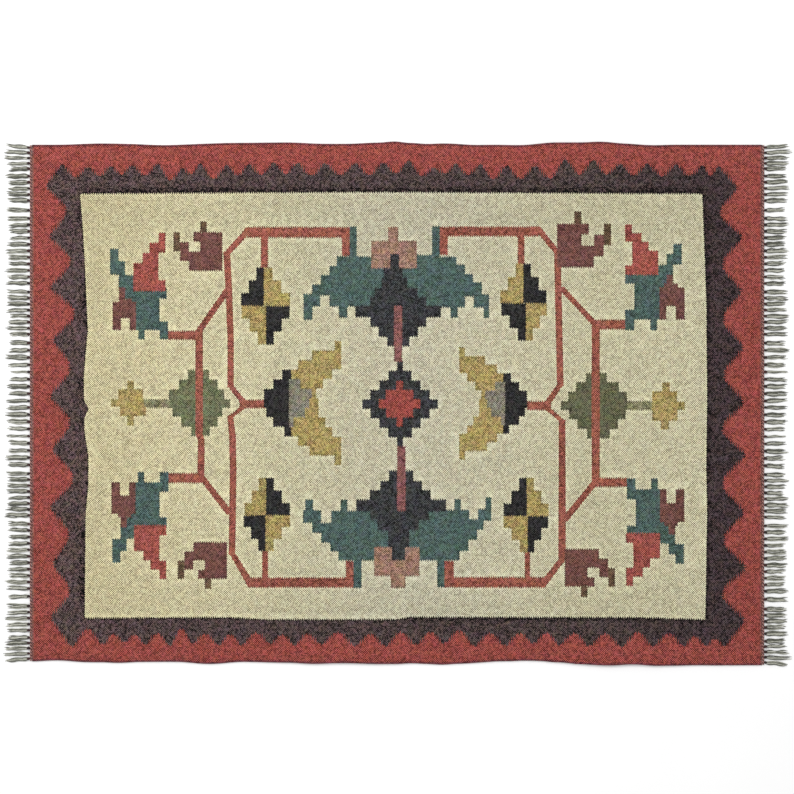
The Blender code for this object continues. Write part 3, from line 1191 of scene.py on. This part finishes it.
# How far a yarn sways, least and most, from the twist it had in the weave
CRINKLE = (0.0004, 0.0010)
CRINKLE_TURNS = (1.0, 1.9)
CRINKLE_OVER = 0.15
TIP_STRAY = 0.0016
TIP_FROM, TIP_OVER = 0.60, 0.40
TAPER = 0.70
TAPER_FROM, TAPER_OVER = 0.80, 0.20
STACK_HEIGHT = 0.0006  # how high a yarn rides over its neighbours
ROOT_HEIGHT = 0.0014
ROOT_OVER = 0.25
FLOOR_CLEARANCE = 0.0001
# Tones of the yarns that lie side by side in a lock, 0 dark as painted shade between the yarns, 1 pale
YARN_SHADE_TONES = (
    (0.08, 0.76, 0.18, 0.55),
    (0.18, 0.65, 0.72, 0.08),
    (0.56, 0.08, 0.78, 0.18),
    (0.10, 0.72, 0.30, 0.08),
)
TONE_STRAY = 0.10

# The knot that holds a lock, a rounded lump beside the twined strip
KNOT_STEPS = 8
KNOT_SIDES = 8
KNOT_SLANT = 0.0012
KNOT_SIZES = (0.85, 1.10)
KNOT_RADIUS = 0.0034
KNOT_HALF_LENGTH = 0.0040
KNOT_END = 0.0003
KNOT_PLACE = 0.0018  # from the strip's outer edge
KNOT_HEIGHT = 0.0039
# the knot takes the darkest tones of the dark twining yarn: its own dark colour, and painted shade at the
# lock's root
KNOT_TONES = (0.0, 0.25)

# The two plies twined along an end
CORD_TURN = 0.0074
CORD_STEP = 0.00092
CORD_SIDES = 6
CORD_INSET = 0.0004  # its axis lies this far in from the strip's middle
CORD_MARGIN = 0.0016
CORD_HEIGHT = 0.0024
CORD_RADII = (0.0012, 0.0009)  # how far a ply winds round the axis, along X and up
PLY_RADIUS = 0.0014
CORD_GRAIN = 18.2  # millimetres over which the twist tightens and slackens
CORD_SLACK = 2.2
CORD_SWAY = 0.0006


def lay_yarn(lock, spot, outer, rng):
    """The path of one yarn, from its place in the knot (-1 to 1) out to its tip."""
    centre, width, length, lean = lock
    room = YARN_SPREAD * width - 0.7 * YARN_RADIUS
    longest, missing = YARN_LENGTHS
    reach = length * (longest - rng.uniform(0.0, missing))
    sway = rng.uniform(*CRINKLE)
    turns = rng.uniform(*CRINKLE_TURNS)
    phase = rng.uniform(0.0, math.tau)
    tip = rng.uniform(-TIP_STRAY, TIP_STRAY)
    thick = YARN_RADIUS * rng.uniform(*YARN_RADII)
    path = []
    for share in YARN_STATIONS:
        angle = math.tau * turns * share + phase
        spread = KNOT_SPREAD + (1.0 - KNOT_SPREAD) * smooth_step(share / SPREAD_OVER)
        spread -= GATHER * smooth_step((share - GATHER_FROM) / GATHER_OVER)
        across = centre + lean * share + spot * room * spread
        across += sway * math.sin(angle) * smooth_step(share / CRINKLE_OVER)
        across += tip * smooth_step((share - TIP_FROM) / TIP_OVER)
        radius = thick * (1.0 - TAPER * smooth_step((share - TAPER_FROM) / TAPER_OVER))
        stack = STACK_HEIGHT * (1.0 + math.cos(angle)) * (1.0 - 0.5 * share)
        root = ROOT_HEIGHT * (1.0 - smooth_step(share / ROOT_OVER))
        height = radius + FLOOR_CLEARANCE + stack + root
        path.append((Vector((outer + reach * share, across, height)), radius))
    return path


def tie_knot(centre, outer, rng):
    """The path of a lock's knot, a rounded lump that lies a little askew."""
    slant = rng.uniform(-KNOT_SLANT, KNOT_SLANT)
    size = rng.uniform(*KNOT_SIZES)
    path = []
    for step in range(KNOT_STEPS + 1):
        angle = math.pi * step / KNOT_STEPS
        radius = max(KNOT_RADIUS * size * math.sin(angle), KNOT_END)
        along = outer + KNOT_PLACE - KNOT_HALF_LENGTH * size * math.cos(angle)
        path.append((Vector((along, centre + slant * math.cos(angle), KNOT_HEIGHT)), radius))
    return path


def lay_lock(strands, lock, outer, rng):
    """One knotted lock: its yarns spread from a knot at the root, of dark twining yarn painted near-black
    as shade, and end unevenly.
    """
    tones = rng.choice(YARN_SHADE_TONES)
    count = max(2, round(lock[1] / YARN_PITCH))
    for index in range(count):
        spot = (index + 0.5) / count * 2.0 - 1.0
        tone = tones[index % len(tones)] + rng.uniform(-TONE_STRAY, TONE_STRAY)
        strands.tube(lay_yarn(lock, spot, outer, rng), YARN_SIDES, tone, LOOSE_WARP)
    knot = tie_knot(lock[0], outer, rng)
    strands.tube(knot, KNOT_SIDES, rng.uniform(*KNOT_TONES), DARK_TWINING)


def twine(strands, inner, low_reach, high_reach):
    """Two plies, one pale and one dark, twisted unevenly along the end of the cloth."""
    length = low_reach + high_reach
    middle = inner + 0.5 * STRIP_WIDTH - CORD_INSET
    count = round(length / CORD_STEP)
    for ply, shade in enumerate((PALE_TWINING, DARK_TWINING)):
        path = []
        for step in range(count + 1):
            across = -low_reach + CORD_MARGIN + (length - 2.0 * CORD_MARGIN) * step / count
            sway = noise.noise(Vector((across * repeats(CORD_GRAIN), 3.1, inner)))
            angle = math.tau * across / CORD_TURN + math.pi * ply + CORD_SLACK * sway
            offset = Vector((math.cos(angle) * CORD_RADII[0], 0.0, math.sin(angle) * CORD_RADII[1]))
            path.append((Vector((middle + CORD_SWAY * sway, across, CORD_HEIGHT)) + offset, PLY_RADIUS))
        strands.tube(path, CORD_SIDES, 0.5, shade)


def build_fringe(name, end, materials):
    """The twined edge and locks of one end (+1 right, -1 left), drawn at +X and turned there."""
    inner = 0.5 * CLOTH_LENGTH + GAP
    outer = inner + STRIP_WIDTH
    low_reach = half_width(-end, end * inner)
    high_reach = half_width(+end, end * inner)
    strands = Strands()
    rng = random.Random(55 + end)
    for lock in end_locks(low_reach, high_reach):
        lay_lock(strands, lock, outer, rng)
    twine(strands, inner, low_reach, high_reach)
    piece = make_piece(
        name, strands.points, strands.faces, materials, strands.shades, "yarn_tone_and_shade", strands.tones
    )
    piece.rotation_euler.z = 0.0 if end > 0 else math.pi
    return piece


# ------------------------------------------------ studio
FLOOR_REACH = 12.0
PAPER_GRAIN = 333  # millimetres, a very faint mottle
ROOM_LIGHT = 0.74
SOFTBOX_SIZE = (3.0, 2.0)
SOFTBOX_PLACE = (-1.2, 2.2, 4.0)
SOFTBOX_POWER = 120.0
CAMERA_PLACE = (0.0, 0.0165, 5.122)
LENS = 100.0
SENSOR_WIDTH = 36.0


def white_paper():
    """Matt white background paper, nearly even, with hardly any reflection."""
    material, tree, shader = start_material("white_paper_floor")
    place = add(tree, "ShaderNodeTexCoord").outputs["Object"]
    mottle = add(tree, "ShaderNodeTexNoise", {"Vector": place, "Scale": repeats(PAPER_GRAIN)})
    stops = ((0.3, "fafafa"), (0.7, "fcfcfc"))
    colour = add(tree, "ShaderNodeValToRGB", {0: mottle.outputs["Fac"]}, stops)
    tree.links.new(colour.outputs[0], shader.inputs["Base Color"])
    shader.inputs["Roughness"].default_value = 0.8
    shader.inputs["Specular IOR Level"].default_value = 0.2
    return material


def build_floor():
    """A plain white floor, wide enough to fill every view."""
    mesh = bpy.data.meshes.new("floor")
    sides = ((-1, -1), (1, -1), (1, 1), (-1, 1))
    corners = [(FLOOR_REACH * right, FLOOR_REACH * far, 0) for right, far in sides]
    mesh.from_pydata(corners, [], [(0, 1, 2, 3)])
    mesh.materials.append(white_paper())
    floor = bpy.data.objects.new("floor", mesh)
    bpy.context.scene.collection.objects.link(floor)
    return floor


def light_room():
    """An even white room and one wide soft light from above."""
    world = bpy.data.worlds.new("studio")
    bpy.context.scene.world = world
    world.use_nodes = True
    background = world.node_tree.nodes["Background"]
    background.inputs["Color"].default_value = linear("ffffff")
    background.inputs["Strength"].default_value = ROOM_LIGHT

    lamp = bpy.data.lights.new("softbox", "AREA")
    lamp.shape = "RECTANGLE"
    lamp.size, lamp.size_y = SOFTBOX_SIZE
    lamp.energy = SOFTBOX_POWER
    light = bpy.data.objects.new("softbox", lamp)
    light.location = SOFTBOX_PLACE
    aim = Vector((0.0, 0.0, 0.0)) - light.location
    light.rotation_euler = aim.to_track_quat("-Z", "Y").to_euler()
    bpy.context.scene.collection.objects.link(light)


def place_camera():
    """A long lens straight above the rug, looking down."""
    lens = bpy.data.cameras.new("camera")
    lens.lens = LENS
    lens.sensor_width = SENSOR_WIDTH
    camera = bpy.data.objects.new("camera", lens)
    camera.location = CAMERA_PLACE
    bpy.context.scene.collection.objects.link(camera)
    bpy.context.scene.camera = camera
    bpy.context.scene.view_settings.view_transform = "Standard"


def main():
    floor = build_floor()
    light_room()
    place_camera()
    weave = build_weave({dye: woven_yarn(dye, shades) for dye, shades in YARNS.items()})
    cottons = [fringe_yarn(name, shades) for name, shades in COTTONS.items()]
    fringes = [
        build_fringe("warp_fringe_right", +1, cottons),
        build_fringe("warp_fringe_left", -1, cottons),
    ]
    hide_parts("kilim_body")
    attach(weave, "root")
    for fringe, node in zip(fringes, ("fringe_right", "fringe_left")):
        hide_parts(node)
        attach(fringe, "root")


main()
